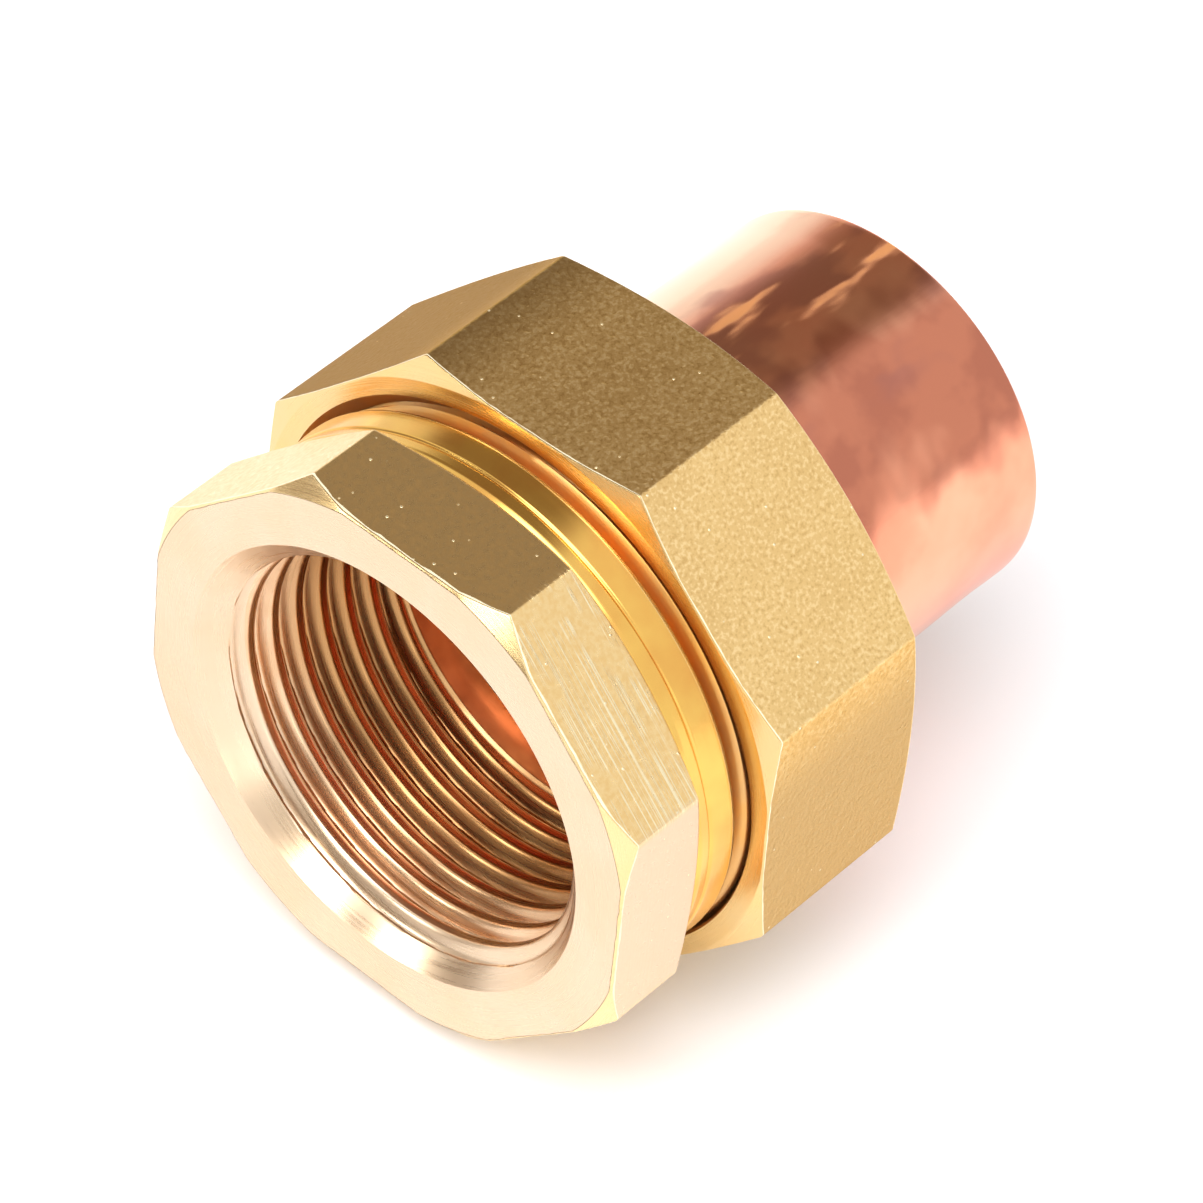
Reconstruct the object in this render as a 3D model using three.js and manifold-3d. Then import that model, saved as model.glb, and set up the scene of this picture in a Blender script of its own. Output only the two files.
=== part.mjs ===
// Three-quarter inch pipe union: taper female pipe thread on one end, solder cup on the other.
// A threaded body and a copper tailpiece meet on a cone-and-ball joint, and an octagonal nut
// draws them together. Millimetres. The axis runs along +X from the threaded end to the cup,
// and the union lies on one flat of its nut, with that flat at Z = 0.
import * as THREE from 'three';
import { mergeVertices } from 'three/addons/utils/BufferGeometryUtils.js';
import Module from 'manifold-3d';

// ---- Driving dimensions. Stations are measured along the axis from the threaded end's face.
const UNION_LENGTH = 39.8;
const SEGMENTS = 36; // facets in every turned surface, and steps in each turn of thread
const OCTAGON_SIDES = 8;
const RUNNING_GAP = 0.3;

const BODY_FLATS = 33.3;
const BODY_TWIST = THREE.MathUtils.degToRad(2); // where the body's flats sit against the nut's
const BODY_FACE_R = 17.0;
const BODY_CORNER_FRONT = 0.84;
const BODY_CORNER_REAR = 5.58;
const BODY_FLATS_END = 6.2;
const NECK_R = 16.6;
const NECK_END = 9.3;
const NECK_EDGE = 0.25;
const NECK_GROOVE = 7.42; // fine groove turned round the neck
const NECK_GROOVE_DEPTH = 0.14;
const RELIEF_R = 15.5;
const RELIEF_END = 9.7;
const BODY_END = 18.0;

const SOCKET_MOUTH_R = 13.74;
const SOCKET_BORE_R = 12.12; // thread crest radius at the face
const SOCKET_TAPER = 1 / 32; // radius lost per millimetre of depth
const SOCKET_BORE_END = 13.5;
const SOCKET_PITCH = 25.4 / 14;
const SOCKET_THREAD_DEPTH = 0.8;
const SOCKET_ROOT_FLAT = 0.25;
const SOCKET_FLANK = THREE.MathUtils.degToRad(30);
const SOCKET_THREAD_END = 13.4;
const LAND_R = 11.5; // plain bore between the thread and the seat
const SEAT_START = 15.7;

const UNION_PITCH = 25.4 / 11;
const UNION_MAJOR_R = 16.6;
const UNION_ROOT_R = 15.2;
const UNION_ROOT_FLAT = 0.35;
const UNION_THREAD_START = 1.25; // station where the groove's helix would cross the +Y side
const UNION_END_SLOPE = 2; // rise of the chamfers at both ends of the outer thread
const NUT_CREST_R = 15.85;
const NUT_CREST_FLAT = 0.32;
const NUT_ROOT_R = UNION_MAJOR_R + RUNNING_GAP;
const FLANK_SLOPE = 0.5; // axial run of a flank for each millimetre of depth
const CUTTER_REACH = 0.35; // how far a thread cutter stands clear of the metal

const NUT_FLATS = 36;
const NUT_FRONT = 10.08;
const NUT_CORNER_FRONT = 10.62;
const NUT_CORNER_REAR = 21.35;
const NUT_REAR = 22.05;
const NUT_FACE_R = 18.1;
const NUT_BACK_R = 17.9;
const NUT_MOUTH_R = 17.0;
const NUT_THREAD_END = 18.4;
const NUT_SHOULDER = 20.3;
const NUT_HOLE_R = 12.3;
const NUT_HOLE_EDGE = 0.4;

const BALL_R = 17.66;
const BALL_CENTRE = 29.6;
const BALL_INNER_R = 10.9;
const BALL_OUTER_R = 13.9;
const FLANGE_R = 14.9;
const FLANGE_REAR = NUT_SHOULDER - RUNNING_GAP;
const TAIL_R = 12.0;
const TAIL_FILLET = 0.25;
const TAIL_EDGE = 0.12;
const WATERWAY_R = 10.2;
const CUP_R = 11.15; // for 22.2 mm copper tube
const CUP_DEPTH = 19.0;

const wasm = await Module();
wasm.setup();

// ---- Solids

function toSolid(geometry) {
  const bare = geometry.clone();
  bare.deleteAttribute('normal');
  bare.deleteAttribute('uv');
  const merged = mergeVertices(bare, 1e-4);
  return new wasm.Manifold(new wasm.Mesh({
    numProp: 3,
    vertProperties: new Float32Array(merged.attributes.position.array),
    triVerts: new Uint32Array(merged.index.array),
  }));
}

function toMesh(name, solid, material) {
  const { vertProperties, triVerts } = solid.getMesh();
  const geometry = new THREE.BufferGeometry();
  geometry.setAttribute('position', new THREE.BufferAttribute(vertProperties, 3));
  geometry.setIndex(new THREE.BufferAttribute(triVerts, 1));
  geometry.computeVertexNormals();
  const mesh = new THREE.Mesh(geometry, material);
  mesh.name = name;
  return mesh;
}

// A turned solid. The outline is a list of [station, radius], anticlockwise with the station
// to the right and the radius up, and it closes on itself.
function turned(outline) {
  const points = outline.map(([station, radius]) => new THREE.Vector2(radius, station)).reverse();
  points.push(points[0].clone());
  const geometry = new THREE.LatheGeometry(points, SEGMENTS);
  geometry.rotateZ(-Math.PI / 2);
  return toSolid(geometry);
}

// An octagonal bar along the axis, standing on a flat when twist is 0.
function octagonBar(acrossFlats, start, end, twist) {
  const cornerR = acrossFlats / 2 / Math.cos(Math.PI / OCTAGON_SIDES);
  const corners = [];
  for (let side = 0; side < OCTAGON_SIDES; side += 1) {
    const angle = ((side + 0.5) * 2 * Math.PI) / OCTAGON_SIDES + twist;
    corners.push(new THREE.Vector2(cornerR * Math.cos(angle), cornerR * Math.sin(angle)));
  }
  const geometry = new THREE.ExtrudeGeometry(new THREE.Shape(corners), {
    depth: end - start,
    bevelEnabled: false,
  });
  geometry.applyMatrix4(new THREE.Matrix4().makeBasis(
    new THREE.Vector3(0, 1, 0),
    new THREE.Vector3(0, 0, 1),
    new THREE.Vector3(1, 0, 0),
  ));
  geometry.translate(start, 0, 0);
  return toSolid(geometry);
}

// A right-hand helix that runs back from a far station to a near one. Its frames keep the
// section's x axis radial and its y axis along the union, so a thread's section never twists.
class ThreadPath extends THREE.Curve {
  constructor(near, far, pitch, radiusAt) {
    super();
    Object.assign(this, { near, far, pitch, radiusAt });
  }

  turnAt(station) {
    return (2 * Math.PI * station) / this.pitch;
  }

  getPoint(t, target = new THREE.Vector3()) {
    const station = this.far + (this.near - this.far) * t;
    const radius = this.radiusAt(station);
    const turn = this.turnAt(station);
    return target.set(station, radius * Math.cos(turn), radius * Math.sin(turn));
  }

  getSpacedPoints(divisions) {
    return this.getPoints(divisions);
  }

  computeFrenetFrames(steps) {
    const frames = { tangents: [], normals: [], binormals: [] };
    for (let step = 0; step <= steps; step += 1) {
      const turn = this.turnAt(this.far + ((this.near - this.far) * step) / steps);
      frames.normals.push(new THREE.Vector3(0, Math.cos(turn), Math.sin(turn)));
      frames.binormals.push(new THREE.Vector3(1, 0, 0));
      frames.tangents.push(new THREE.Vector3(0, Math.sin(turn), -Math.cos(turn)));
    }
    return frames;
  }
}

// The solid swept by a thread groove. The section is a list of [radial, axial] points,
// anticlockwise, about the path. Its steps fall on the facet edges of the turned surfaces.
function threadSweep(near, far, pitch, radiusAt, section) {
  const advance = pitch / SEGMENTS;
  const first = Math.floor(near / advance);
  const last = Math.round(far / advance);
  const steps = last - first;
  const path = new ThreadPath(first * advance, last * advance, pitch, radiusAt);
  const shape = new THREE.Shape(section.map(([radial, axial]) => new THREE.Vector2(radial, axial)));
  return toSolid(new THREE.ExtrudeGeometry(shape, { steps, extrudePath: path, bevelEnabled: false }));
}

// Arc of the ball nose, from its inner radius to its outer one.
function ballNose(steps = 6) {
  const arc = [];
  for (let step = 0; step <= steps; step += 1) {
    const radius = BALL_INNER_R + ((BALL_OUTER_R - BALL_INNER_R) * step) / steps;
    arc.push([BALL_CENTRE - Math.sqrt(BALL_R ** 2 - radius ** 2), radius]);
  }
  return arc;
}

// ---- Threads

// Groove of the taper pipe thread, which fades out over its last half turn.
function socketThread() {
  const rootHalf = SOCKET_ROOT_FLAT / 2;
  const depth = SOCKET_THREAD_DEPTH + CUTTER_REACH;
  const innerHalf = rootHalf + depth * Math.tan(SOCKET_FLANK);
  const fade = SOCKET_PITCH / 2;
  const rootAt = (station) => {
    const past = Math.max(0, station - (SOCKET_THREAD_END - fade)) / fade;
    return SOCKET_BORE_R - SOCKET_TAPER * station + SOCKET_THREAD_DEPTH * (1 - past);
  };
  return threadSweep(-SOCKET_PITCH, SOCKET_THREAD_END, SOCKET_PITCH, rootAt, [
    [0, -rootHalf], [0, rootHalf], [-depth, innerHalf], [-depth, -innerHalf],
  ]);
}

// Groove between the crests of the body's outer thread. It rises out of the metal where it
// reaches the relief behind the neck.
function unionThread() {
  const depth = UNION_MAJOR_R - UNION_ROOT_R;
  const rise = depth + CUTTER_REACH;
  const rootHalf = UNION_ROOT_FLAT / 2;
  const outerHalf = rootHalf + rise * FLANK_SLOPE;
  const fade = UNION_PITCH / 4;
  const start = UNION_THREAD_START;
  const near = RELIEF_END - start;
  const rootAt = (station) => UNION_ROOT_R + depth * Math.max(0, (near - station) / fade);
  return threadSweep(near - fade, BODY_END + UNION_PITCH - start, UNION_PITCH, rootAt, [
    [0, start - rootHalf], [rise, start - outerHalf],
    [rise, start + outerHalf], [0, start + rootHalf],
  ]);
}

// Groove of the nut's inner thread. Its crest stands in the middle of the body's groove.
function nutThread() {
  const crestHalf = NUT_CREST_FLAT / 2;
  const rootHalf = UNION_PITCH / 2 - crestHalf - (NUT_ROOT_R - NUT_CREST_R) * FLANK_SLOPE;
  const fall = NUT_ROOT_R - NUT_CREST_R + CUTTER_REACH;
  const innerHalf = rootHalf + fall * FLANK_SLOPE;
  const middle = UNION_THREAD_START - UNION_PITCH / 2;
  const near = NUT_FRONT - UNION_PITCH;
  return threadSweep(near, NUT_THREAD_END - middle, UNION_PITCH, () => NUT_ROOT_R, [
    [0, middle - rootHalf], [0, middle + rootHalf],
    [-fall, middle + innerHalf], [-fall, middle - innerHalf],
  ]);
}

// ---- The three pieces

function threadedBody() {
  const beyond = 1;
  const cornerR = BODY_FLATS / 2 / Math.cos(Math.PI / OCTAGON_SIDES);
  const frontSlope = (cornerR - BODY_FACE_R) / BODY_CORNER_FRONT;
  const rearSlope = (cornerR - BODY_FLATS / 2) / (BODY_FLATS_END - BODY_CORNER_REAR);
  const clearR = cornerR + 0.4;
  const turning = turned([
    [0, 0],
    [BODY_FLATS_END, 0],
    [BODY_FLATS_END, BODY_FLATS / 2],
    [BODY_FLATS_END - (clearR - BODY_FLATS / 2) / rearSlope, clearR],
    [(clearR - BODY_FACE_R) / frontSlope, clearR],
    [0, BODY_FACE_R],
  ]);
  const wrench = octagonBar(BODY_FLATS, 0, BODY_FLATS_END, BODY_TWIST).intersect(turning);
  const shank = turned([
    [beyond, 0],
    [BODY_END, 0],
    [BODY_END, UNION_ROOT_R],
    [BODY_END - (UNION_MAJOR_R - UNION_ROOT_R) / UNION_END_SLOPE, UNION_MAJOR_R],
    [RELIEF_END + (UNION_MAJOR_R - RELIEF_R) / UNION_END_SLOPE, UNION_MAJOR_R],
    [RELIEF_END, RELIEF_R],
    [NECK_END, RELIEF_R],
    [NECK_END, NECK_R - NECK_EDGE],
    [NECK_END - NECK_EDGE, NECK_R],
    [NECK_GROOVE + NECK_GROOVE_DEPTH, NECK_R],
    [NECK_GROOVE, NECK_R - NECK_GROOVE_DEPTH],
    [NECK_GROOVE - NECK_GROOVE_DEPTH, NECK_R],
    [beyond, NECK_R],
  ]);
  const socketDepth = SOCKET_BORE_R - SOCKET_TAPER * SOCKET_BORE_END;
  const mouthEnd = (SOCKET_MOUTH_R - SOCKET_BORE_R) / (1 - SOCKET_TAPER);
  const bore = turned([
    [-beyond, 0],
    [BODY_END + beyond, 0],
    [BODY_END + beyond, LAND_R + BODY_END + beyond - SEAT_START],
    [SEAT_START, LAND_R],
    [SOCKET_BORE_END + socketDepth - LAND_R, LAND_R],
    [SOCKET_BORE_END, socketDepth],
    [mouthEnd, SOCKET_MOUTH_R - mouthEnd],
    [-beyond, SOCKET_MOUTH_R + beyond],
  ]);
  return wrench.add(shank).subtract(bore).subtract(socketThread()).subtract(unionThread());
}

function unionNut() {
  const beyond = 1;
  const cornerR = NUT_FLATS / 2 / Math.cos(Math.PI / OCTAGON_SIDES);
  const frontSlope = (cornerR - NUT_FACE_R) / (NUT_CORNER_FRONT - NUT_FRONT);
  const rearSlope = (cornerR - NUT_BACK_R) / (NUT_REAR - NUT_CORNER_REAR);
  const clearR = cornerR + 0.4;
  const turning = turned([
    [NUT_FRONT, 0],
    [NUT_REAR, 0],
    [NUT_REAR, NUT_BACK_R],
    [NUT_REAR - (clearR - NUT_BACK_R) / rearSlope, clearR],
    [NUT_FRONT + (clearR - NUT_FACE_R) / frontSlope, clearR],
    [NUT_FRONT, NUT_FACE_R],
  ]);
  const hollow = turned([
    [NUT_FRONT - beyond, 0],
    [NUT_REAR + beyond, 0],
    [NUT_REAR + beyond, NUT_HOLE_R + NUT_HOLE_EDGE + beyond],
    [NUT_REAR - NUT_HOLE_EDGE, NUT_HOLE_R],
    [NUT_SHOULDER, NUT_HOLE_R],
    [NUT_SHOULDER, NUT_ROOT_R],
    [NUT_THREAD_END, NUT_ROOT_R],
    [NUT_THREAD_END - (NUT_ROOT_R - NUT_CREST_R), NUT_CREST_R],
    [NUT_FRONT + NUT_MOUTH_R - NUT_CREST_R, NUT_CREST_R],
    [NUT_FRONT - beyond, NUT_MOUTH_R + beyond],
  ]);
  const bar = octagonBar(NUT_FLATS, NUT_FRONT, NUT_REAR, 0);
  return bar.intersect(turning).subtract(hollow).subtract(nutThread());
}

function solderTailpiece() {
  const nose = ballNose();
  const noseTip = nose[0][0];
  const flangeFront = nose.at(-1)[0];
  const stop = UNION_LENGTH - CUP_DEPTH;
  return turned([
    [UNION_LENGTH, CUP_R + TAIL_EDGE],
    [UNION_LENGTH, TAIL_R - TAIL_EDGE],
    [UNION_LENGTH - TAIL_EDGE, TAIL_R],
    [FLANGE_REAR + TAIL_FILLET, TAIL_R],
    [FLANGE_REAR, TAIL_R + TAIL_FILLET],
    [FLANGE_REAR, FLANGE_R],
    [flangeFront, FLANGE_R],
    ...nose.reverse(),
    [noseTip, WATERWAY_R],
    [stop - (CUP_R - WATERWAY_R), WATERWAY_R],
    [stop, CUP_R],
    [UNION_LENGTH - TAIL_EDGE, CUP_R],
  ]);
}

// ---- The assembly

const brass = new THREE.MeshStandardMaterial({ color: 0xd9b26a, roughness: 0.32, metalness: 1 });
const forgedBrass = new THREE.MeshStandardMaterial({ color: 0xcfa65c, roughness: 0.42, metalness: 1 });
const copper = new THREE.MeshStandardMaterial({ color: 0xd98d6b, roughness: 0.22, metalness: 1 });

const union = new THREE.Group();
union.add(toMesh('threaded_body', threadedBody(), brass));
union.add(toMesh('union_nut', unionNut(), forgedBrass));
union.add(toMesh('solder_tailpiece', solderTailpiece(), copper));
union.position.set(-UNION_LENGTH / 2, 0, NUT_FLATS / 2);

export default union;
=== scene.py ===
"""Three-quarter inch pipe union, lying on one flat of its nut, seen from its threaded end.

Each of the three pieces is one closed skin, made of rings of points around the union's axis:
the threaded body, the union nut and the copper tailpiece. Sizes are in millimetres, and
stations run along the axis from the threaded end's face. Angles run from +Y towards +Z.
"""

import math

import bpy
import numpy as np
from mathutils import Matrix, Vector


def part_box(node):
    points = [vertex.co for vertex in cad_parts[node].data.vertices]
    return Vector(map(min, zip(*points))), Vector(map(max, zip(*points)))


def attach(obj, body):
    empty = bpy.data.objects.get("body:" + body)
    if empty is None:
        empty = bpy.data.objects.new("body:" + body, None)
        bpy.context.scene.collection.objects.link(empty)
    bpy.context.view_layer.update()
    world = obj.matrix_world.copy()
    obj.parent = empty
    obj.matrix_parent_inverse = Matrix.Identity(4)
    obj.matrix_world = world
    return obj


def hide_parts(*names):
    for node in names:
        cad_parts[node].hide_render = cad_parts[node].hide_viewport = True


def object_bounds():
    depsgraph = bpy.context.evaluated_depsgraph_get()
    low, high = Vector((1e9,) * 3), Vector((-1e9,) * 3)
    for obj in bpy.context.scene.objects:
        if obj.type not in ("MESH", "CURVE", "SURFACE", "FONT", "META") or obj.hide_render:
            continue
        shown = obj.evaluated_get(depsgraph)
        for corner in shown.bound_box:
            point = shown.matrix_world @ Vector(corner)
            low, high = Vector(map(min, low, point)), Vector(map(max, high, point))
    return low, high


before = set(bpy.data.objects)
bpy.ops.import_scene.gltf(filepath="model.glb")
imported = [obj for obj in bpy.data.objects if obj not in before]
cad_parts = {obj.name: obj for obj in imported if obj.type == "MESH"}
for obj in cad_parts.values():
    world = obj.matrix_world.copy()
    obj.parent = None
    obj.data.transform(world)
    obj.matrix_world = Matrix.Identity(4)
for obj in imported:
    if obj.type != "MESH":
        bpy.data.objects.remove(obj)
cad_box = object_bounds()

# ---- Places and sizes

MM = 0.001
NUT_LOW, NUT_HIGH = (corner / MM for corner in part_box("union_nut"))
TAIL_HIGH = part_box("solder_tailpiece")[1] / MM
FACE_X = cad_box[0].x / MM
AXIS_Z = (NUT_LOW.z + NUT_HIGH.z) / 2
UNION_LENGTH = TAIL_HIGH.x - FACE_X

SIDES = 8
BODY_FLATS = 33.3
BODY_TWIST = math.radians(2)
BODY_FACE_R = 17.0
BODY_CORNER_FRONT = 0.84
BODY_CORNER_REAR = 5.58
BODY_FLATS_END = 6.2
NECK_R = 16.6
NECK_END = 9.3
RELIEF_R = 15.7
RELIEF_END = 9.7
BODY_END = 18.0

MOUTH_R = 13.74
SOCKET_R = 12.12
SOCKET_TAPER = 1 / 32
SOCKET_PITCH = 25.4 / 14
SOCKET_DEPTH = 0.8
SOCKET_FORM = (0.10, 0.32, 0.27)  # root flat, crest flat and rounding of the visual thread
SOCKET_END = 13.4
# station where the painted shade inside the pipe thread reaches its full depth
SOCKET_SHADE_FROM = 8.4
COUNTERSINK_END = 2.4
LAND_R = 11.5
SEAT_START = 15.7

UNION_PITCH = 25.4 / 11
UNION_THREAD_START = 1.25
UNION_END_SLOPE = 2
UNION_MAJOR_R = 16.6
UNION_ROOT_R = 15.2
UNION_FORM = (0.15, 0.24, 0.2)
NUT_CREST_R = 15.85
NUT_ROOT_R = 16.9
NUT_FORM = (0.4, 0.14, 0.15)

NUT_FLATS = NUT_HIGH.z - NUT_LOW.z
NUT_FRONT = NUT_LOW.x - FACE_X
NUT_REAR = NUT_HIGH.x - FACE_X
NUT_CORNER_SET = 0.54
NUT_CORNER_BACK = 0.7
NUT_FACE_R = 18.1
NUT_BACK_R = 17.9
NUT_MOUTH_R = 17.0
NUT_THREAD_END = 18.4
NUT_SHOULDER = 20.3
NUT_HOLE_R = 12.3

BALL_R = 17.66
BALL_CENTRE = 29.6
BALL_INNER_R = 10.9
BALL_OUTER_R = 13.9
FLANGE_R = 14.9
FLANGE_REAR = 20.0
TAIL_R = 12.0
WATERWAY_R = 10.2
CUP_R = 11.15
CUP_DEPTH = 19.0


# ---- Camera and stage

CAMERA_AIM = (-1.73, 0.65, 17.08)
CAMERA_DISTANCE = 378.55
CAMERA_HEADING = math.radians(38.95)  # of the view, from +X towards +Y
CAMERA_FALL = math.radians(45.38)
CAMERA_ROLL = math.radians(4.07)
CAMERA_LENS = 209.5
CAMERA_SENSOR = 36
FLOOR_HALF = 3.0  # in metres
FLOOR_GAP = 0.02  # below the union, so the two surfaces don't share a plane


def studio_camera():
    """A long lens that looks down on the threaded end."""
    aim = Vector(CAMERA_AIM) * MM
    heading, fall, roll = CAMERA_HEADING, CAMERA_FALL, CAMERA_ROLL
    forward = Vector((
        math.cos(fall) * math.cos(heading), math.cos(fall) * math.sin(heading), -math.sin(fall),
    ))
    level = forward.cross(Vector((0, 0, 1))).normalized()
    right = math.cos(roll) * level + math.sin(roll) * level.cross(forward)
    turn = Matrix((right, right.cross(forward), -forward)).transposed().to_4x4()
    camera = bpy.data.objects.new("camera", bpy.data.cameras.new("camera"))
    camera.data.lens = CAMERA_LENS
    camera.data.sensor_width = CAMERA_SENSOR
    place = aim - forward * (CAMERA_DISTANCE * MM)
    camera.matrix_world = Matrix.Translation(place) @ turn
    bpy.context.scene.collection.objects.link(camera)
    bpy.context.scene.camera = camera


def direction(azimuth, elevation):
    """Unit vector; azimuth runs from +X towards +Y."""
    turn, rise = math.radians(azimuth), math.radians(elevation)
    return (math.cos(rise) * math.cos(turn), math.cos(rise) * math.sin(turn), math.sin(rise))


def studio_light():
    """Pale walls with four shaded areas, a large soft box high in front of the threaded end, and
    three small ones that put the bright spots on the countersink and the thread."""
    world = bpy.data.worlds.new("studio")
    bpy.context.scene.world = world
    world.use_nodes = True
    graph = Graph(world.node_tree)
    sight = graph.node("ShaderNodeTexCoord").outputs["Generated"]
    walls = [
        # azimuth, elevation, inner and outer half angle, colour
        (42, 51, 22, 37, (0.28, 0.22, 0.16)),
        (168, 38, 22, 42, (0.46, 0.40, 0.34)),
        (140, 4, 22, 46, (0.27, 0.20, 0.15)),
        (178, 0, 20, 34, (0.27, 0.20, 0.15)),
        (-164, 64, 14, 30, (5.1, 5.1, 5.4)),
        (181, 32, 3, 10, (11.5, 11.5, 11.0)),
        (141, 26, 4, 9, (11.0, 11.0, 10.5)),
        (-142, 4, 5, 10, (2.6, 2.6, 2.5)),
    ]
    colour = (1.0, 1.0, 1.0, 1.0)
    for azimuth, elevation, inner, outer, shade in walls:
        facing = graph.vector("DOT_PRODUCT", sight, direction(azimuth, elevation)).outputs["Value"]
        share = graph.ramp(facing, math.cos(math.radians(outer)), math.cos(math.radians(inner)))
        colour = graph.mix(share, colour, (*shade, 1.0))
    background = graph.node("ShaderNodeBackground", {"Color": colour, "Strength": 1.0})
    output = graph.node("ShaderNodeOutputWorld")
    graph.link(background.outputs[0], output.inputs["Surface"])


def studio_floor():
    """A pale sweep under the union."""
    turns = ((-1, -1), (1, -1), (1, 1), (-1, 1))
    corners = [(across * FLOOR_HALF, along * FLOOR_HALF, 0) for across, along in turns]
    mesh = bpy.data.meshes.new("floor")
    mesh.from_pydata(corners, [], [(0, 1, 2, 3)])
    floor = bpy.data.objects.new("floor", mesh)
    floor.location.z = -FLOOR_GAP * MM
    bpy.context.scene.collection.objects.link(floor)
    graph = Graph.for_material("pale_floor")
    graph.surface({"Base Color": (0.95, 0.95, 0.95, 1), "Roughness": 0.85})
    mesh.materials.append(graph.material)


# ---- Material graphs

class Graph:
    """A node tree, with short calls that add a node and set or link its inputs."""

    def __init__(self, tree):
        self.tree = tree
        tree.nodes.clear()

    @classmethod
    def for_material(cls, name):
        material = bpy.data.materials.new(name)
        material.use_nodes = True
        graph = cls(material.node_tree)
        graph.material = material
        return graph

    def link(self, source, target):
        self.tree.links.new(source, target)

    def node(self, kind, inputs=None, **settings):
        made = self.tree.nodes.new(kind)
        for key, value in settings.items():
            setattr(made, key, value)
        for key, value in (inputs or {}).items():
            if isinstance(value, bpy.types.NodeSocket):
                self.link(value, made.inputs[key])
            else:
                made.inputs[key].default_value = value
        return made

    def math(self, operation, *values):
        made = self.node("ShaderNodeMath", dict(enumerate(values)), operation=operation)
        return made.outputs[0]

    def vector(self, operation, *values):
        return self.node("ShaderNodeVectorMath", dict(enumerate(values)), operation=operation)

    def ramp(self, value, start, end, low=0.0, high=1.0):
        made = self.node(
            "ShaderNodeMapRange",
            {"Value": value, "From Min": start, "From Max": end, "To Min": low, "To Max": high},
            interpolation_type="SMOOTHSTEP",
        )
        return made.outputs["Result"]

    def mix(self, share, first, second):
        made = self.node("ShaderNodeMix", {"Factor": share}, data_type="RGBA")
        for socket, colour in ((made.inputs[6], first), (made.inputs[7], second)):
            if isinstance(colour, bpy.types.NodeSocket):
                self.link(colour, socket)
            else:
                socket.default_value = colour
        return made.outputs[2]

    def noise(self, place, scale, detail=2.0, roughness=0.5):
        made = self.node(
            "ShaderNodeTexNoise",
            {"Vector": place, "Scale": scale, "Detail": detail, "Roughness": roughness},
        )
        return made.outputs["Fac"]

    def millimetres(self):
        """Place on the piece in millimetres, with the union's axis through the origin."""
        local = self.node("ShaderNodeTexCoord").outputs["Object"]
        scaled = self.vector("SCALE", local)
        scaled.inputs["Scale"].default_value = 1 / MM
        return self.vector("SUBTRACT", scaled.outputs[0], (FACE_X, 0, AXIS_Z)).outputs[0]

    def around(self, place, lengthwise, crosswise, slant=0.0):
        """Place for marks that run round the axis. Slant makes them change with radius too."""
        parts = self.node("ShaderNodeSeparateXYZ", {0: place}).outputs
        flat = self.node("ShaderNodeCombineXYZ", {"Y": parts["Y"], "Z": parts["Z"]}).outputs[0]
        radius = self.vector("LENGTH", flat).outputs["Value"]
        way = self.vector("NORMALIZE", flat).outputs[0]
        turned = self.node("ShaderNodeSeparateXYZ", {0: way}).outputs
        along = self.math("MULTIPLY_ADD", radius, slant, parts["X"])
        made = self.node("ShaderNodeCombineXYZ", {
            "X": self.math("MULTIPLY", along, lengthwise),
            "Y": self.math("MULTIPLY", turned["Y"], crosswise),
            "Z": self.math("MULTIPLY", turned["Z"], crosswise),
        })
        return made.outputs[0]

    def specks(self, place, scale, inner, outer):
        """Small round spots scattered over a surface."""
        cells = self.node("ShaderNodeTexVoronoi", {"Vector": place, "Scale": scale})
        return self.ramp(cells.outputs["Distance"], inner, outer, 1.0, 0.0)

    def towards(self, place, angle, outer, inner, drift=0.0):
        """Share of a band along the piece, centred on an angle round the axis, in degrees."""
        parts = self.node("ShaderNodeSeparateXYZ", {0: place}).outputs
        flat = self.node("ShaderNodeCombineXYZ", {"Y": parts["Y"], "Z": parts["Z"]}).outputs[0]
        way = self.vector("NORMALIZE", flat).outputs[0]
        turn = math.radians(angle)
        facing = self.vector("DOT_PRODUCT", way, (0, math.cos(turn), math.sin(turn)))
        facing = self.math("ADD", facing.outputs["Value"], drift)
        return self.ramp(facing, math.cos(math.radians(outer)), math.cos(math.radians(inner)))

    def bump(self, height, depth, under=None):
        inputs = {"Height": height, "Distance": depth * MM, "Strength": 1.0}
        if under is not None:
            inputs["Normal"] = under
        return self.node("ShaderNodeBump", inputs).outputs["Normal"]

    def surface(self, inputs):
        shader = self.node("ShaderNodeBsdfPrincipled", inputs)
        output = self.node("ShaderNodeOutputMaterial")
        self.link(shader.outputs["BSDF"], output.inputs["Surface"])


# Angles round the axis in degrees
SCORED_FLAT = 137
# the body flat that mirrors the floor: toned darker and paler, a painted reflection
FLOOR_REFLECTION_FLAT = 182
# nut flats darkened with painted shade
SHADE_PAINTED_SIDE = 30
# nut flats darkened with a painted shadow, the floor's shadow mirrored in them
SHADOW_PAINTED_SIDE = 200
# sides of the copper with painted reflections and painted highlight streaks
DIM_REFLECTION_SIDE = 128
DARK_REFLECTION_SIDE = 92
HIGHLIGHT_STREAK_SIDE = 86
BRIGHT_REFLECTION_SIDE = 48

BRASS_LIGHT = (0.92, 0.70, 0.37, 1)
BRASS = (0.90, 0.66, 0.32, 1)
BRASS_DEEP = (0.84, 0.57, 0.24, 1)
BRASS_FORGED = (0.86, 0.59, 0.25, 1)
BRASS_FORGED_LIGHT = (0.93, 0.68, 0.33, 1)
BRASS_FORGED_DEEP = (0.73, 0.47, 0.18, 1)
# painted shade on the nut's flats
BRASS_PAINTED_SHADE = (0.32, 0.20, 0.085, 1)
# painted shadow on the nut's flats
BRASS_PAINTED_SHADOW = (0.62, 0.44, 0.22, 1)
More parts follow.
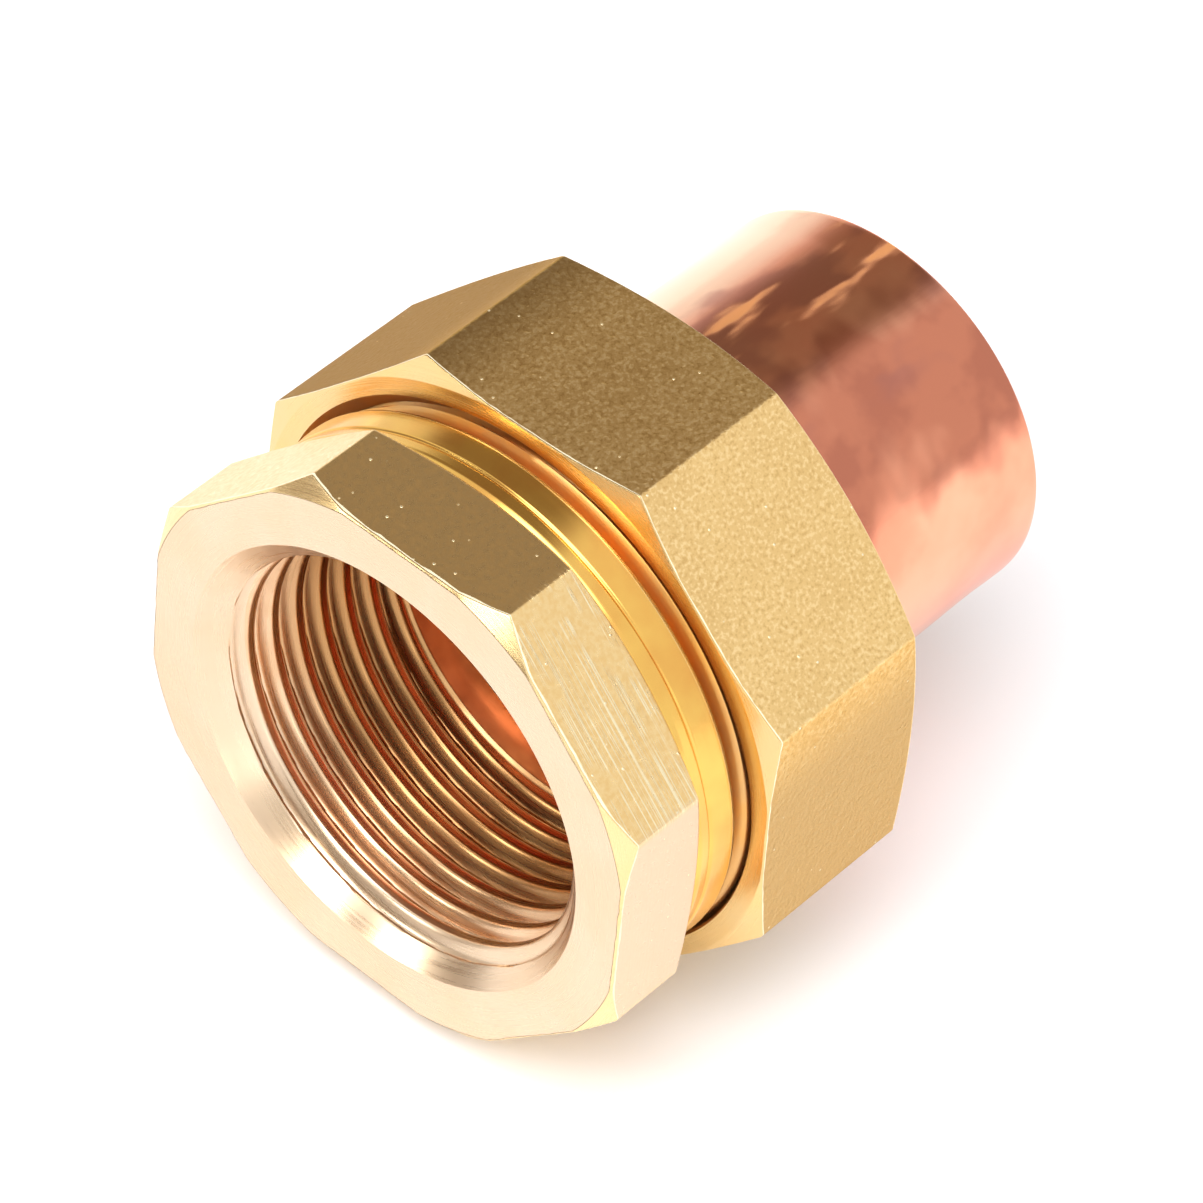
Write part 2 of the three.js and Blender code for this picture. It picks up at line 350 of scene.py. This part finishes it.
# painted shade on the nut's front face, in the gap behind the body's neck
BRASS_STRAW_SHADE = (0.78, 0.57, 0.27, 1)
BRASS_PALE = (0.80, 0.62, 0.44, 1)
# cream patches on the turned face, and the painted floor reflection on one body flat
BRASS_CREAM_AND_REFLECTION = (0.78, 0.59, 0.40, 1)
# painted reflection: the nut's face mirrored golden in the neck
BRASS_GOLDEN_REFLECTION = (0.92, 0.57, 0.14, 1)
# deep tone of the neck's painted reflection, and of the painted shade on the threads between body
# and nut
BRASS_AMBER_REFLECTION_AND_SHADE = (0.82, 0.42, 0.10, 1)
BRASS_SHADED = (0.70, 0.42, 0.17, 1)
BRASS_ROSE = (0.90, 0.64, 0.42, 1)
BRASS_TAN = (0.74, 0.47, 0.27, 1)
# painted shade deep inside the body, on the pipe thread and the land beyond it
BRASS_RUSSET_SHADE = (0.47, 0.25, 0.10, 1)
# bright colour of scratches and nicks, and of the painted glint along the front edges
BRASS_BRIGHT = (0.99, 0.89, 0.62, 1)
BRASS_GLANCE = (0.70, 0.52, 0.32, 1)
# painted shade with a painted reflection of the copper, for the land deep inside the body
BRASS_COPPERY_SHADE = (0.82, 0.50, 0.23, 1)
# painted bright reflection on one side of the copper
COPPER_BRIGHT_REFLECTION = (0.98, 0.62, 0.42, 1)
COPPER = (0.96, 0.46, 0.29, 1)
COPPER_DEEP = (0.91, 0.35, 0.21, 1)
# painted dim and dark reflections and painted highlight streaks on the copper
COPPER_DIM_REFLECTION = (0.62, 0.225, 0.135, 1)
COPPER_DIM_REFLECTION_DEEP = (0.46, 0.155, 0.10, 1)
COPPER_DARK_REFLECTION = (0.44, 0.17, 0.135, 1)
COPPER_HIGHLIGHT = (0.95, 0.42, 0.16, 1)


def turned_metal(name, light, deep, roughness, mark_depth, metallic=1.0, inward_shade=None):
    """Lathe-turned metal: fine rings round the axis over broad, faint patches of colour.
    An inward colour takes over along the thread, from the mouth to its end: painted shade, darker
    deeper in."""
    graph = Graph.for_material(name)
    place = graph.millimetres()
    patches = graph.noise(place, 0.22, 3.0)
    rings = graph.noise(graph.around(place, 9.0, 1.6, slant=1.7), 1.0, 3.0, 0.6)
    fine = graph.noise(graph.around(place, 34.0, 3.0, slant=1.7), 1.0, 2.0)
    tone = graph.mix(graph.ramp(patches, 0.3, 0.7), light, deep)
    if inward_shade is not None:
        station = graph.node("ShaderNodeSeparateXYZ", {0: place}).outputs["X"]
        # painted shade: darker from the countersink inwards
        tone = graph.mix(graph.ramp(station, COUNTERSINK_END, SOCKET_SHADE_FROM), tone, inward_shade)
    graph.surface({
        "Base Color": tone,
        "Metallic": metallic,
        "Roughness": graph.ramp(rings, 0.25, 0.75, roughness * 0.85, roughness * 1.2),
        "Normal": graph.bump(fine, mark_depth * 0.35, graph.bump(rings, mark_depth)),
    })
    return graph.material


def drawn_flats():
    """The body's wrench flats: drawn bar with pits and specks, one flat badly scored, and one flat
    toned as a painted reflection of the floor.
    """
    graph = Graph.for_material("drawn_brass_flats")
    place = graph.millimetres()
    lines = graph.noise(graph.around(place, 11.0, 1.1), 1.0, 3.0, 0.6)
    scuffs = graph.noise(graph.around(place, 5.2, 4.2), 1.0, 2.0)
    grain = graph.noise(place, 3.2, 3.0)
    specks = graph.specks(place, 0.9, 0.03, 0.09)
    scored = graph.towards(place, SCORED_FLAT, 24, 21)
    scored = graph.math("MULTIPLY", scored, graph.ramp(graph.noise(place, 0.3), 0.34, 0.46))
    scratches = graph.math("MULTIPLY", graph.ramp(lines, 0.53, 0.59), scored)
    tone = graph.mix(graph.ramp(grain, 0.3, 0.7), BRASS, BRASS_DEEP)
    # painted reflection of the floor on one flat
    tone = graph.mix(graph.towards(place, FLOOR_REFLECTION_FLAT, 24, 21), tone, BRASS_CREAM_AND_REFLECTION)
    tone = graph.mix(graph.math("MULTIPLY", scratches, 0.85), tone, BRASS_BRIGHT)
    tone = graph.mix(specks, tone, BRASS_BRIGHT)
    normal = graph.bump(graph.noise(place, 1.1, 2.0), 0.012)
    normal = graph.bump(scuffs, 0.006, normal)
    normal = graph.bump(scratches, 0.02, normal)
    normal = graph.bump(specks, 0.03, normal)
    graph.surface({
        "Base Color": tone,
        "Metallic": 1.0,
        "Roughness": graph.ramp(grain, 0.2, 0.8, 0.26, 0.36),
        "Normal": normal,
    })
    return graph.material


def blasted_flats():
    """The nut's flats: a forging blasted to an even grain, with a few bright nicks, and painted
    shade darkening two sides.
    """
    graph = Graph.for_material("blasted_brass_flats")
    place = graph.millimetres()
    patches = graph.noise(place, 0.16, 3.0)
    grain = graph.noise(place, 4.2, 3.0, 0.55)
    dimples = graph.node(
        "ShaderNodeTexVoronoi", {"Vector": place, "Scale": 2.4}, feature="SMOOTH_F1",
    ).outputs["Distance"]
    nicks = graph.specks(place, 0.8, 0.03, 0.08)
    patches = graph.ramp(patches, 0.3, 0.7, 0.0, 0.4)
    tone = graph.mix(patches, BRASS_FORGED, BRASS_FORGED_DEEP)
    tone = graph.mix(graph.ramp(grain, 0.52, 0.62), tone, BRASS_FORGED_LIGHT)
    tone = graph.mix(graph.ramp(grain, 0.36, 0.46, 1.0, 0.0), tone, BRASS_FORGED_DEEP)
    # painted shade and painted shadow on two sides of the nut
    tone = graph.mix(graph.towards(place, SHADE_PAINTED_SIDE, 52, 27), tone, BRASS_PAINTED_SHADE)
    tone = graph.mix(graph.towards(place, SHADOW_PAINTED_SIDE, 46, 24), tone, BRASS_PAINTED_SHADOW)
    tone = graph.mix(nicks, tone, BRASS_BRIGHT)
    normal = graph.bump(grain, 0.05)
    normal = graph.bump(dimples, 0.02, normal)
    graph.surface({
        "Base Color": tone,
        "Metallic": 1.0,
        "Roughness": graph.ramp(grain, 0.2, 0.8, 0.27, 0.37),
        "Specular Tint": BRASS_GLANCE,
        "Normal": graph.bump(nicks, 0.03, normal),
    })
    return graph.material


def drawn_copper():
    """Drawn copper tube, nearly a mirror. Its colour holds painted reflections along fixed sides: a
    pale band, a darker mottled band and dark bands, with orange painted highlight streaks.
    """
    graph = Graph.for_material("drawn_copper")
    place = graph.millimetres()
    patches = graph.noise(place, 0.11, 4.0, 0.55)
    die_lines = graph.noise(graph.around(place, 0.35, 30.0), 1.0, 2.0)
    wander = graph.ramp(graph.noise(graph.around(place, 0.26, 2.2), 1.0), 0.2, 0.8, -0.07, 0.07)
    # painted reflections in bands along fixed sides of the tube, with wandering edges
    dim_reflection_share = graph.towards(place, DIM_REFLECTION_SIDE, 30, 15, wander)
    reflection_band_noise = graph.noise(graph.around(place, 0.14, 2.8), 1.0, 3.0, 0.5)
    dark_reflection_share = graph.towards(place, DARK_REFLECTION_SIDE, 36, 20, wander)
    dark_reflection_bands = graph.math("MULTIPLY", graph.ramp(reflection_band_noise, 0.45, 0.58, 0.0, 0.55), dark_reflection_share)
    dim_reflection_mottle = graph.ramp(graph.noise(graph.around(place, 0.3, 3.4), 1.0, 3.0), 0.44, 0.62)
    # painted highlight streaks, orange and half metallic
    highlight_streaks = graph.noise(graph.around(place, 0.22, 9.0), 1.0, 2.0)
    highlight_streaks = graph.math(
        "MULTIPLY", graph.ramp(highlight_streaks, 0.5, 0.74), graph.towards(place, HIGHLIGHT_STREAK_SIDE, 15, 5),
    )
    tone = graph.mix(graph.ramp(patches, 0.35, 0.65), COPPER, COPPER_DEEP)
    tone = graph.mix(graph.towards(place, BRIGHT_REFLECTION_SIDE, 28, 16), tone, COPPER_BRIGHT_REFLECTION)
    dim_reflection_tone = graph.mix(graph.math("MULTIPLY", dim_reflection_mottle, 0.6), COPPER_DIM_REFLECTION, COPPER_DIM_REFLECTION_DEEP)
    tone = graph.mix(dim_reflection_share, tone, dim_reflection_tone)
    tone = graph.mix(dark_reflection_bands, tone, COPPER_DARK_REFLECTION)
    tone = graph.mix(highlight_streaks, tone, COPPER_HIGHLIGHT)
    graph.surface({
        "Base Color": tone,
        "Metallic": graph.ramp(highlight_streaks, 0.0, 1.0, 1.0, 0.5),
        "Roughness": graph.ramp(patches, 0.3, 0.7, 0.14, 0.22),
        "Normal": graph.bump(die_lines, 0.002),
    })
    return graph.material


# ---- Skins

ROUNDING_STEPS = (-0.25, 0.0, 0.2, 0.4, 0.6, 0.8, 1.0, 1.25)
ROUNDING_SHARE = 0.42  # the most of a line's length that one rounding takes
FLAT_COLUMNS = 27
TUBE_COLUMNS = 224
TUBE_ROWS = 72
BALL_ROWS = 12
SOCKET_ROWS = 178
COUNTERSINK_ROWS = 42
UNION_THREAD_ROWS = 84
SHARP_ANGLE = math.radians(40)
CORNER_SET = math.radians(0.2)


def smooth_max(first, second, width):
    """The larger of two values, with the change-over rounded."""
    share = np.clip(0.5 + 0.5 * (first - second) / width, 0, 1)
    return second + (first - second) * share + width * share * (1 - share)


def smooth_min(first, second, width):
    return -smooth_max(-first, -second, width)


def octagon(flats, corner_rounding, twist=0.0):
    """Column angles round an octagonal piece, and the octagon's radius at each of them."""
    half = math.pi / SIDES
    apothem = flats / 2
    centre = (apothem - corner_rounding) / math.cos(half)
    edge = math.atan((apothem - corner_rounding) * math.tan(half) / apothem)
    across = np.linspace(CORNER_SET - edge, edge - CORNER_SET, FLAT_COLUMNS)
    corner = half + (half - edge) * np.array([-1, -0.5, 0, 0.5, 1])
    local = np.concatenate([across, corner])
    off_corner = half - local
    on_flat = apothem / np.cos(local)
    on_corner = centre * np.cos(off_corner) + np.sqrt(
        np.maximum(corner_rounding**2 - (centre * np.sin(off_corner)) ** 2, 0)
    )
    radius = np.where(np.abs(off_corner) <= (half - edge) * 1.0001, on_corner, on_flat)
    sides = np.arange(SIDES) * 2 * half + twist
    return (sides[:, None] + local).ravel(), np.tile(radius, SIDES)


def ragged(angles, size, seed, lobes=420):
    """Uneven wear round an edge: random values joined by straight lines, closing on itself."""
    values = np.random.default_rng(seed).uniform(-size, size, lobes)
    return np.interp(angles % (2 * math.pi), np.linspace(0, 2 * math.pi, lobes), values,
                     period=2 * math.pi)


def rounded_corner(before, corner, after, size):
    """Rows of a small rounding, with one more row just outside each end of it."""
    reaches = []
    for neighbour in (before, after):
        line = neighbour - corner
        length = np.maximum(np.hypot(*line), 1e-9)
        reaches.append(line / length * np.minimum(size, ROUNDING_SHARE * length))
    rows = []
    for step in ROUNDING_STEPS:
        lead = 1 - step if step < 0 else max(0.0, 1 - step) ** 2
        trail = step if step > 1 else max(0.0, step) ** 2
        rows.append(corner + lead * reaches[0] + trail * reaches[1])
    return rows


def trace(angles, *corners):
    """Rows along a line of corners. A corner is (station, radius, rounding, rows before it)."""
    places = [
        np.stack([np.broadcast_to(value, angles.shape) for value in corner[:2]]).astype(float)
        for corner in corners
    ]
    rows = [places[0][None]]
    for index, (_, _, rounding, between) in enumerate(corners[1:], start=1):
        if rounding and index < len(corners) - 1:
            found = rounded_corner(places[index - 1], places[index], places[index + 1], rounding)
        else:
            found = [places[index]]
        start = rows[-1][-1]
        for step in range(1, between + 1):
            share = step / (between + 1)
            rows.append((start + (found[0] - start) * share)[None])
        rows.append(np.stack(found))
    return np.concatenate(rows)


def swept(angles, stations, radius_at):
    """Rows at the given stations, with a radius that may change round the axis."""
    grid = np.broadcast_to(np.asarray(stations, float)[:, None], (len(stations), len(angles)))
    return np.stack([grid, radius_at(grid, angles)], axis=1)


def skin(name, angles, zones, materials):
    """A closed skin from zones of rows. Each zone is (material name, rows), and each row holds
    a station and a radius for every angle. Rows run clockwise with the station to the right."""
    rows = np.concatenate([rows for _, rows in zones])
    station, radius = rows[:, 0], rows[:, 1]
    points = np.stack([
        FACE_X + station, radius * np.cos(angles), AXIS_Z + radius * np.sin(angles),
    ], axis=-1) * MM
    count, columns = station.shape
    ring, column = np.meshgrid(np.arange(count), np.arange(columns), indexing="ij")
    next_ring, next_column = (ring + 1) % count, (column + 1) % columns
    corners = [(ring, column), (ring, next_column), (next_ring, next_column), (next_ring, column)]
    quads = np.stack([(r * columns + c).ravel() for r, c in corners], axis=-1)
    mesh = bpy.data.meshes.new(name)
    mesh.from_pydata(points.reshape(-1, 3).tolist(), [], quads.tolist())
    used = list(dict.fromkeys(zone for zone, _ in zones))
    for zone in used:
        mesh.materials.append(materials[zone])
    slots = np.concatenate([np.full(len(part), used.index(zone)) for zone, part in zones])
    mesh.polygons.foreach_set("material_index", np.repeat(slots, columns))
    mesh.shade_smooth()
    mesh.set_sharp_from_angle(angle=SHARP_ANGLE)
    mesh.update()
    piece = bpy.data.objects.new(name, mesh)
    bpy.context.scene.collection.objects.link(piece)
    return piece


# ---- Threads

def thread_rise(phase, root_flat, crest_flat, rounding):
    """Height of a thread, from 0 at its root to 1 at its crest. Phase 0 is the root's middle,
    and the flats are shares of half the pitch."""
    away = 2 * np.abs(phase - np.round(phase))
    flank = (away - root_flat) / (1 - root_flat - crest_flat)
    return smooth_max(smooth_min(flank, 1, rounding), 0, rounding)


def thread_phase(station, angles, pitch):
    return station / pitch - angles / (2 * math.pi)


def socket_radius(station, angles):
    """Taper pipe thread inside the body, opened by the countersink at its mouth."""
    rise = thread_rise(thread_phase(station, angles, SOCKET_PITCH), *SOCKET_FORM)
    fade = np.clip((SOCKET_END - station) / (SOCKET_PITCH / 2), 0, 1)
    crest = SOCKET_R - SOCKET_TAPER * station
    thread = crest + SOCKET_DEPTH * (1 - rise) * fade
    return smooth_max(thread, MOUTH_R - station, 0.05)


def body_thread_radius(station, angles):
    """Outer thread of the body, between the relief and the end chamfer."""
    phase = thread_phase(station - UNION_THREAD_START, angles, UNION_PITCH)
    rise = thread_rise(phase, *UNION_FORM)
    thread = UNION_ROOT_R + (UNION_MAJOR_R - UNION_ROOT_R) * rise
    run_in = RELIEF_R + (station - RELIEF_END) * UNION_END_SLOPE
    run_out = UNION_ROOT_R + (BODY_END - station) * UNION_END_SLOPE
    return smooth_min(smooth_min(thread, run_in, 0.08), run_out, 0.08)


def nut_thread_radius(station, angles):
    """Inner thread of the nut. Its crest stands in the middle of the body's groove."""
    phase = thread_phase(station - UNION_THREAD_START, angles, UNION_PITCH) + 0.5
    rise = thread_rise(phase, *NUT_FORM)
    thread = NUT_ROOT_R - (NUT_ROOT_R - NUT_CREST_R) * rise
    mouth = NUT_MOUTH_R - (station - NUT_FRONT)
    run_out = NUT_ROOT_R - (NUT_THREAD_END - station)
    return smooth_max(smooth_max(thread, mouth, 0.06), run_out, 0.06)


# ---- Pieces

def threaded_body(materials):
    """The brass body: wrench octagon, neck, outer thread, cone seat and pipe thread."""
    angles, wrench = octagon(BODY_FLATS, 0.3, BODY_TWIST)
    corner = BODY_FLATS / 2 / math.cos(math.pi / SIDES)
    edge_break = 0.10 + ragged(angles, 0.04, seed=3)
    burr_glint = 0.10 + ragged(angles, 0.08, seed=5)
    face_edge = np.minimum(BODY_FACE_R, wrench - edge_break)
    front = (wrench - face_edge) * BODY_CORNER_FRONT / (corner - BODY_FACE_R)
    rear_slope = (BODY_FLATS_END - BODY_CORNER_REAR) / (corner - BODY_FLATS / 2)
    rear = BODY_FLATS_END - (wrench - BODY_FLATS / 2) * rear_slope
    seat_mouth = LAND_R + BODY_END - SEAT_START
    face = trace(angles, (0, MOUTH_R, 0, 0), (0, face_edge, 0, 8))
    chamfer = trace(
        angles,
        (0, face_edge - 0.05, 0, 0), (0, face_edge, 0.04, 0), (front, wrench, 0.05, 4),
        (front + 0.06, wrench, 0, 0),
    )[1:]
    # a ragged strip of the flats behind the front edge, painted near white: the painted glint of a
    # rolled edge
    burr_glint_strip = trace(angles, (front + 0.07, wrench, 0, 0), (front + 0.07 + burr_glint, wrench, 0, 0))
    flats = trace(
        angles,
        (front + 0.08 + burr_glint, wrench, 0, 0), (rear - 0.1, wrench, 0.05, 12),
        (rear, wrench - 0.05, 0, 0),
    )
    neck = trace(
        angles,
        (rear, wrench - 0.06, 0, 0),
        (BODY_FLATS_END + 0.05, NECK_R - 0.20, 0.06, 4),
        (BODY_FLATS_END + 0.42, NECK_R - 0.03, 0.12, 2),
        (BODY_FLATS_END + 1.10, NECK_R - 0.08, 0.10, 4),
        (BODY_FLATS_END + 1.22, NECK_R - 0.19, 0.05, 1),
        (BODY_FLATS_END + 1.36, NECK_R - 0.07, 0.06, 1),
        (NECK_END - 0.34, NECK_R + 0.04, 0, 8),
    )
    rim = trace(
        angles,
        (NECK_END - 0.32, NECK_R + 0.04, 0, 0),
        (NECK_END - 0.28, NECK_R + 0.04, 0.03, 0),
        (NECK_END - 0.08, NECK_R - 0.02, 0.08, 2),
        (NECK_END, NECK_R - 0.24, 0, 2),
    )
    relief = trace(
        angles,
        (NECK_END + 0.01, NECK_R - 0.26, 0, 0),
        (NECK_END + 0.06, RELIEF_R, 0.12, 4),
        (RELIEF_END - 0.03, RELIEF_R, 0, 3),
    )
    length = np.linspace(RELIEF_END, BODY_END - 0.02, UNION_THREAD_ROWS)
    outer = swept(angles, length, body_thread_radius)
    seat = trace(
        angles,
        (BODY_END, UNION_ROOT_R - 0.1, 0, 0),
        (BODY_END, seat_mouth, 0.06, 3),
        (SEAT_START, LAND_R, 0, 6),
    )
    bore = trace(
        angles,
        (SEAT_START - 0.05, LAND_R, 0, 0),
        (SOCKET_END + 0.25, LAND_R, 0.06, 6),
        (SOCKET_END, SOCKET_R - SOCKET_TAPER * SOCKET_END, 0, 1),
    )
    depth = np.linspace(SOCKET_END - 0.02, COUNTERSINK_END, SOCKET_ROWS)
    socket = swept(angles, depth, socket_radius)
    depth = np.linspace(COUNTERSINK_END - 0.06, 0.05, COUNTERSINK_ROWS)
    countersink = swept(angles, depth, socket_radius)
    zones = [
        ("face", face), ("turned", chamfer), ("burr_glint", burr_glint_strip), ("flats", flats),
        ("polished_neck_reflection", neck), ("turned", rim), ("outer thread", np.concatenate([relief, outer])),
        ("turned", seat), ("bore", bore), ("socket", socket), ("face", countersink),
    ]
    piece = skin("threaded_body_skin", angles, zones, materials)
    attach(piece, "threaded_body")
    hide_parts("threaded_body")


def union_nut(materials):
    """The octagonal brass nut: turned faces, blasted flats, inner thread and shoulder."""
    angles, wrench = octagon(NUT_FLATS, 0.35)
    corner = NUT_FLATS / 2 / math.cos(math.pi / SIDES)
    edge_break = 0.08 + ragged(angles, 0.025, seed=8)
    burr_glint = 0.05 + ragged(angles, 0.04, seed=9)
    face_edge = np.minimum(NUT_FACE_R, wrench - edge_break)
    back_edge = np.minimum(NUT_BACK_R, wrench - edge_break)
    front = NUT_FRONT + (wrench - face_edge) * NUT_CORNER_SET / (corner - NUT_FACE_R)
    rear = NUT_REAR - (wrench - back_edge) * NUT_CORNER_BACK / (corner - NUT_BACK_R)
    face = trace(
        angles,
        (NUT_FRONT, NUT_MOUTH_R, 0, 0), (NUT_FRONT, face_edge, 0.04, 3), (front, wrench, 0.05, 4),
        (front + 0.06, wrench, 0, 0),
    )
    # a ragged strip of the flats behind the front edge, painted near white: the painted glint of a
    # rolled edge
    burr_glint_strip = trace(angles, (front + 0.07, wrench, 0, 0), (front + 0.07 + burr_glint, wrench, 0, 0))
    flats = trace(angles, (front + 0.08 + burr_glint, wrench, 0, 0), (rear - 0.08, wrench, 0, 14))
    back = trace(
        angles,
        (rear - 0.06, wrench, 0, 0),
        (rear, wrench, 0.05, 0),
        (NUT_REAR, back_edge, 0.05, 4),
        (NUT_REAR, NUT_HOLE_R + 0.4, 0.08, 6),
        (NUT_REAR - 0.4, NUT_HOLE_R, 0.08, 1),
        (NUT_SHOULDER, NUT_HOLE_R, 0.06, 3),
        (NUT_SHOULDER, NUT_ROOT_R, 0.15, 5),
        (NUT_THREAD_END, NUT_ROOT_R, 0, 3),
    )
    depth = np.linspace(NUT_THREAD_END - 0.05, NUT_FRONT + 0.02, UNION_THREAD_ROWS)
    zones = [
        ("nut face", face), ("burr_glint", burr_glint_strip), ("blasted", flats), ("turned", back),
        ("outer thread", swept(angles, depth, nut_thread_radius)),
    ]
    piece = skin("union_nut_skin", angles, zones, materials)
    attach(piece, "nut")
    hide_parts("union_nut")


def tube_radius(station, angles):
    """A drawn and sized tube with slight hollows, which fade out at both of its ends."""
    along = station / UNION_LENGTH * 2 * math.pi
    wave = np.sin(3 * angles + 4.2 * along + 0.6) + 0.7 * np.sin(2 * angles - 3.1 * along + 2.0)
    wave += 0.5 * np.sin(5 * angles + 2.3 * along)
    from_end = np.minimum(station - FLANGE_REAR - 0.5, UNION_LENGTH - 0.4 - station)
    return TAIL_R + 0.02 * (wave - 2.2) * np.clip(from_end / 2, 0, 1)


def solder_tailpiece(materials):
    """The copper tailpiece: ball nose, flange, plain tube and solder cup."""
    angles = np.linspace(0, 2 * math.pi, TUBE_COLUMNS, endpoint=False)
    radii = np.linspace(BALL_INNER_R, BALL_OUTER_R, BALL_ROWS)
    ball = [(BALL_CENTRE - math.sqrt(BALL_R**2 - radius**2), radius, 0, 0) for radius in radii]
    nose = trace(angles, (ball[0][0], WATERWAY_R, 0, 0), (ball[0][0], BALL_INNER_R, 0, 1), *ball[1:])
    flange = trace(
        angles,
        ball[-1],
        (ball[-1][0], FLANGE_R, 0.1, 2),
        (FLANGE_REAR, FLANGE_R, 0.12, 4),
        (FLANGE_REAR, TAIL_R + 0.25, 0.05, 3),
        (FLANGE_REAR + 0.25, TAIL_R, 0, 2),
    )[1:]
    tube = swept(
        angles, np.linspace(FLANGE_REAR + 0.6, UNION_LENGTH - 0.45, TUBE_ROWS), tube_radius,
    )
    stop = UNION_LENGTH - CUP_DEPTH
    cup = trace(
        angles,
        (UNION_LENGTH - 0.4, TAIL_R, 0, 0),
        (UNION_LENGTH, TAIL_R - 0.03, 0.18, 0),
        (UNION_LENGTH, CUP_R + 0.06, 0.12, 1),
        (UNION_LENGTH - 0.2, CUP_R, 0.05, 0),
        (stop, CUP_R, 0.1, 22),
        (stop - (CUP_R - WATERWAY_R), WATERWAY_R, 0.2, 3),
        (ball[0][0] + 0.1, WATERWAY_R, 0, 6),
    )
    zones = [("copper", np.concatenate([nose, flange, tube, cup]))]
    piece = skin("solder_tailpiece_skin", angles, zones, materials)
    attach(piece, "tailpiece")
    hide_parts("solder_tailpiece")


def finishes():
    """Every finish on the union, by zone."""
    return {
        "face": turned_metal("turned_brass_face", BRASS_PALE, BRASS_CREAM_AND_REFLECTION, 0.28, 0.004),
        "turned": turned_metal("turned_brass", BRASS_LIGHT, BRASS, 0.26, 0.004),
        # the nut's face is darker than the body's face: painted shade
        "nut face": turned_metal("turned_nut_face_painted_shade", BRASS_STRAW_SHADE, BRASS_DEEP, 0.24, 0.004),
        # the neck's golden colour is a painted reflection of the nut's face
        "polished_neck_reflection": turned_metal("polished_brass_neck_painted_reflection", BRASS_GOLDEN_REFLECTION, BRASS_AMBER_REFLECTION_AND_SHADE, 0.17, 0.003),
        "outer thread": turned_metal("rolled_brass_thread", BRASS_SHADED, BRASS_AMBER_REFLECTION_AND_SHADE, 0.4, 0.003),
        # the pipe thread's inward colour is painted shade
        "socket": turned_metal(
            "cut_brass_thread", BRASS_ROSE, BRASS_TAN, 0.27, 0.003, inward_shade=BRASS_RUSSET_SHADE,
        ),
        # the land beyond the thread: dark coppery tones, painted shade and a painted reflection of
        # the copper
        "bore": turned_metal("bored_brass_painted_shade", BRASS_COPPERY_SHADE, BRASS_RUSSET_SHADE, 0.35, 0.003),
        # near white and half metallic, so it shines in any light: painted glint
        "burr_glint": turned_metal("brass_burr_painted_glint", BRASS_BRIGHT, BRASS_BRIGHT, 0.45, 0.02, metallic=0.3),
        "flats": drawn_flats(),
        "blasted": blasted_flats(),
        "copper": drawn_copper(),
    }


studio_camera()
studio_light()
studio_floor()
bpy.context.scene.view_settings.view_transform = "Standard"
metals = finishes()
threaded_body(metals)
union_nut(metals)
solder_tailpiece(metals)
